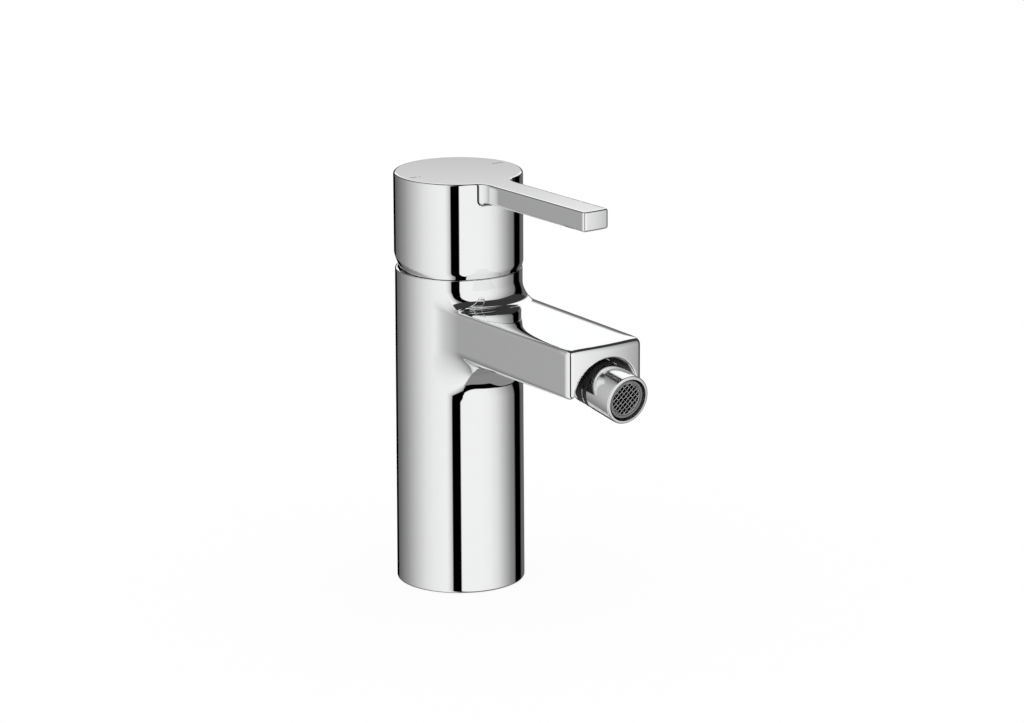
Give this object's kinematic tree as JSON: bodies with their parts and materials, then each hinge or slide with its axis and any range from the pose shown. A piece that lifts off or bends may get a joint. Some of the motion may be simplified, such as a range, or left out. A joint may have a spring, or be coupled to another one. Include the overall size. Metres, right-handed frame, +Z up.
{
  "type": "bidet mixer",
  "caption": "Deck-mounted single-lever bidet mixer: round body with flat spout, lever head on a ceramic cartridge and a ball-jointed nozzle with a mesh aerator.",
  "frame": {"origin": "centre of the foot, on the deck, on the body's upright axis", "axes": "+Z up along the body's axis, -Y along the spout and the lever, +X to the cold side"},
  "size_m": [0.046, 0.1216, 0.1496],
  "materials": {
    "chrome": "polished",
    "brass": "turned",
    "steel": "satin",
    "ceramic": "lapped",
    "cartridge_plastic": "moulded",
    "seat_plastic": "moulded",
    "aerator_plastic": "moulded",
    "rubber": "matte"
  },
  "bodies": {
    "mixer_body": {"body": "chrome", "base_gasket": "rubber", "cartridge_base": "cartridge_plastic", "inlet_seals": "rubber", "disc_seal": "rubber", "fixed_disc": "ceramic", "cartridge_casing": "cartridge_plastic", "casing_ring": "rubber", "cartridge_nut": "brass", "ball_stud": "brass", "stud_ring": "rubber"},
    "stem_rotor": {"stem_guide": "cartridge_plastic", "pivot_pin": "steel"},
    "handle": {"lever_handle": "chrome", "stem": "steel", "grub_screw": "steel", "screw_plug": "chrome"},
    "disc_slide": {"disc_carrier": "cartridge_plastic", "moving_disc": "ceramic"},
    "swing_ring": {"ball_seat": "seat_plastic"},
    "tilt_seal": {"ball_seal": "rubber"},
    "nozzle": {"nozzle_sleeve": "chrome", "seat_retainer": "brass", "aerator_washer": "rubber", "aerator_housing": "aerator_plastic", "aerator_screen": "steel"}
  },
  "joints": [
    {"name": "handle_turn", "type": "hinge", "parent": "mixer_body", "child": "stem_rotor", "pos_m": [0, 0, 0.126], "axis": [0, 0, 1], "range_deg": [-45, 45]},
    {"name": "handle_lift", "type": "hinge", "parent": "stem_rotor", "child": "handle", "pos_m": [0, 0, 0.126], "axis": [-1, 0, 0], "range_deg": [0, 22]},
    {"name": "disc_travel", "type": "slide", "parent": "stem_rotor", "child": "disc_slide", "axis": [0, -1, 0], "range_m": [0, 0.00573]},
    {"name": "nozzle_swing", "type": "hinge", "parent": "mixer_body", "child": "swing_ring", "pos_m": [0, -0.078, 0.08955], "axis": [0, 0, 1], "range_deg": [-15, 15]},
    {"name": "nozzle_tilt", "type": "hinge", "parent": "swing_ring", "child": "tilt_seal", "pos_m": [0, -0.078, 0.08955], "axis": [1, 0, 0], "range_deg": [-5, 15]},
    {"name": "nozzle_spin", "type": "hinge", "parent": "tilt_seal", "child": "nozzle", "pos_m": [0, -0.078, 0.08955], "axis": [0, -0.9869, -0.1616], "continuous": true}
  ],
  "couplings": [
    {"joint": "disc_travel", "follows": "handle_lift", "m_per_rad": 0.014908}
  ]
}
